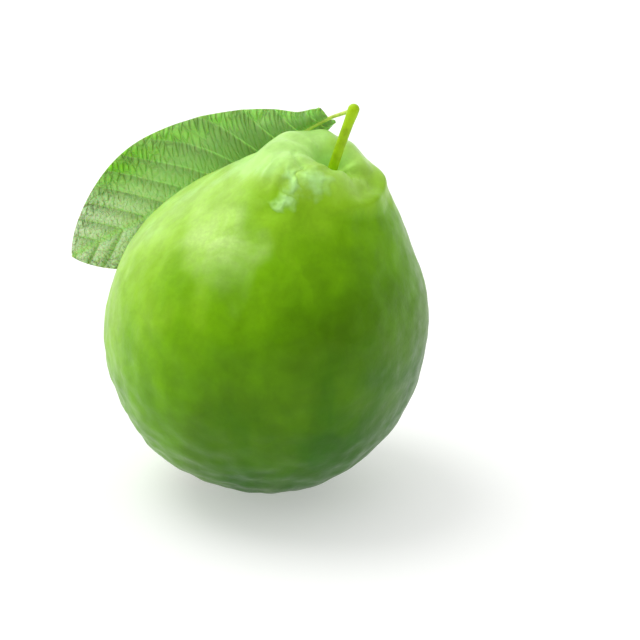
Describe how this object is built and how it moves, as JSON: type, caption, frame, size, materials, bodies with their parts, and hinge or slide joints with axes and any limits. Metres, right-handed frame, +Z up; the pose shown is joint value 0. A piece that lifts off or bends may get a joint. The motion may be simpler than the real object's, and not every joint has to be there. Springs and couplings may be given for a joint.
{
  "type": "guava",
  "caption": "Whole green guava with a pear-shaped body and a lobed neck, its short stem standing in the pit and one oval leaf hanging behind it.",
  "frame": {"origin": "the middle of the small flat spot on the underside that the fruit rests on", "axes": "+Z up, -Y towards the viewer of the side that shows best, +X towards the side that the neck leans to"},
  "size_m": [0.0968, 0.0861, 0.1078],
  "materials": {
    "fruit_skin": "satin",
    "dry_calyx": "matte",
    "stem_bark": "satin",
    "leaf_blade": "satin"
  },
  "bodies": {
    "root": {"fruit": "fruit_skin", "calyx": "dry_calyx", "stem": "stem_bark", "leaf": "leaf_blade"}
  },
  "joints": []
}
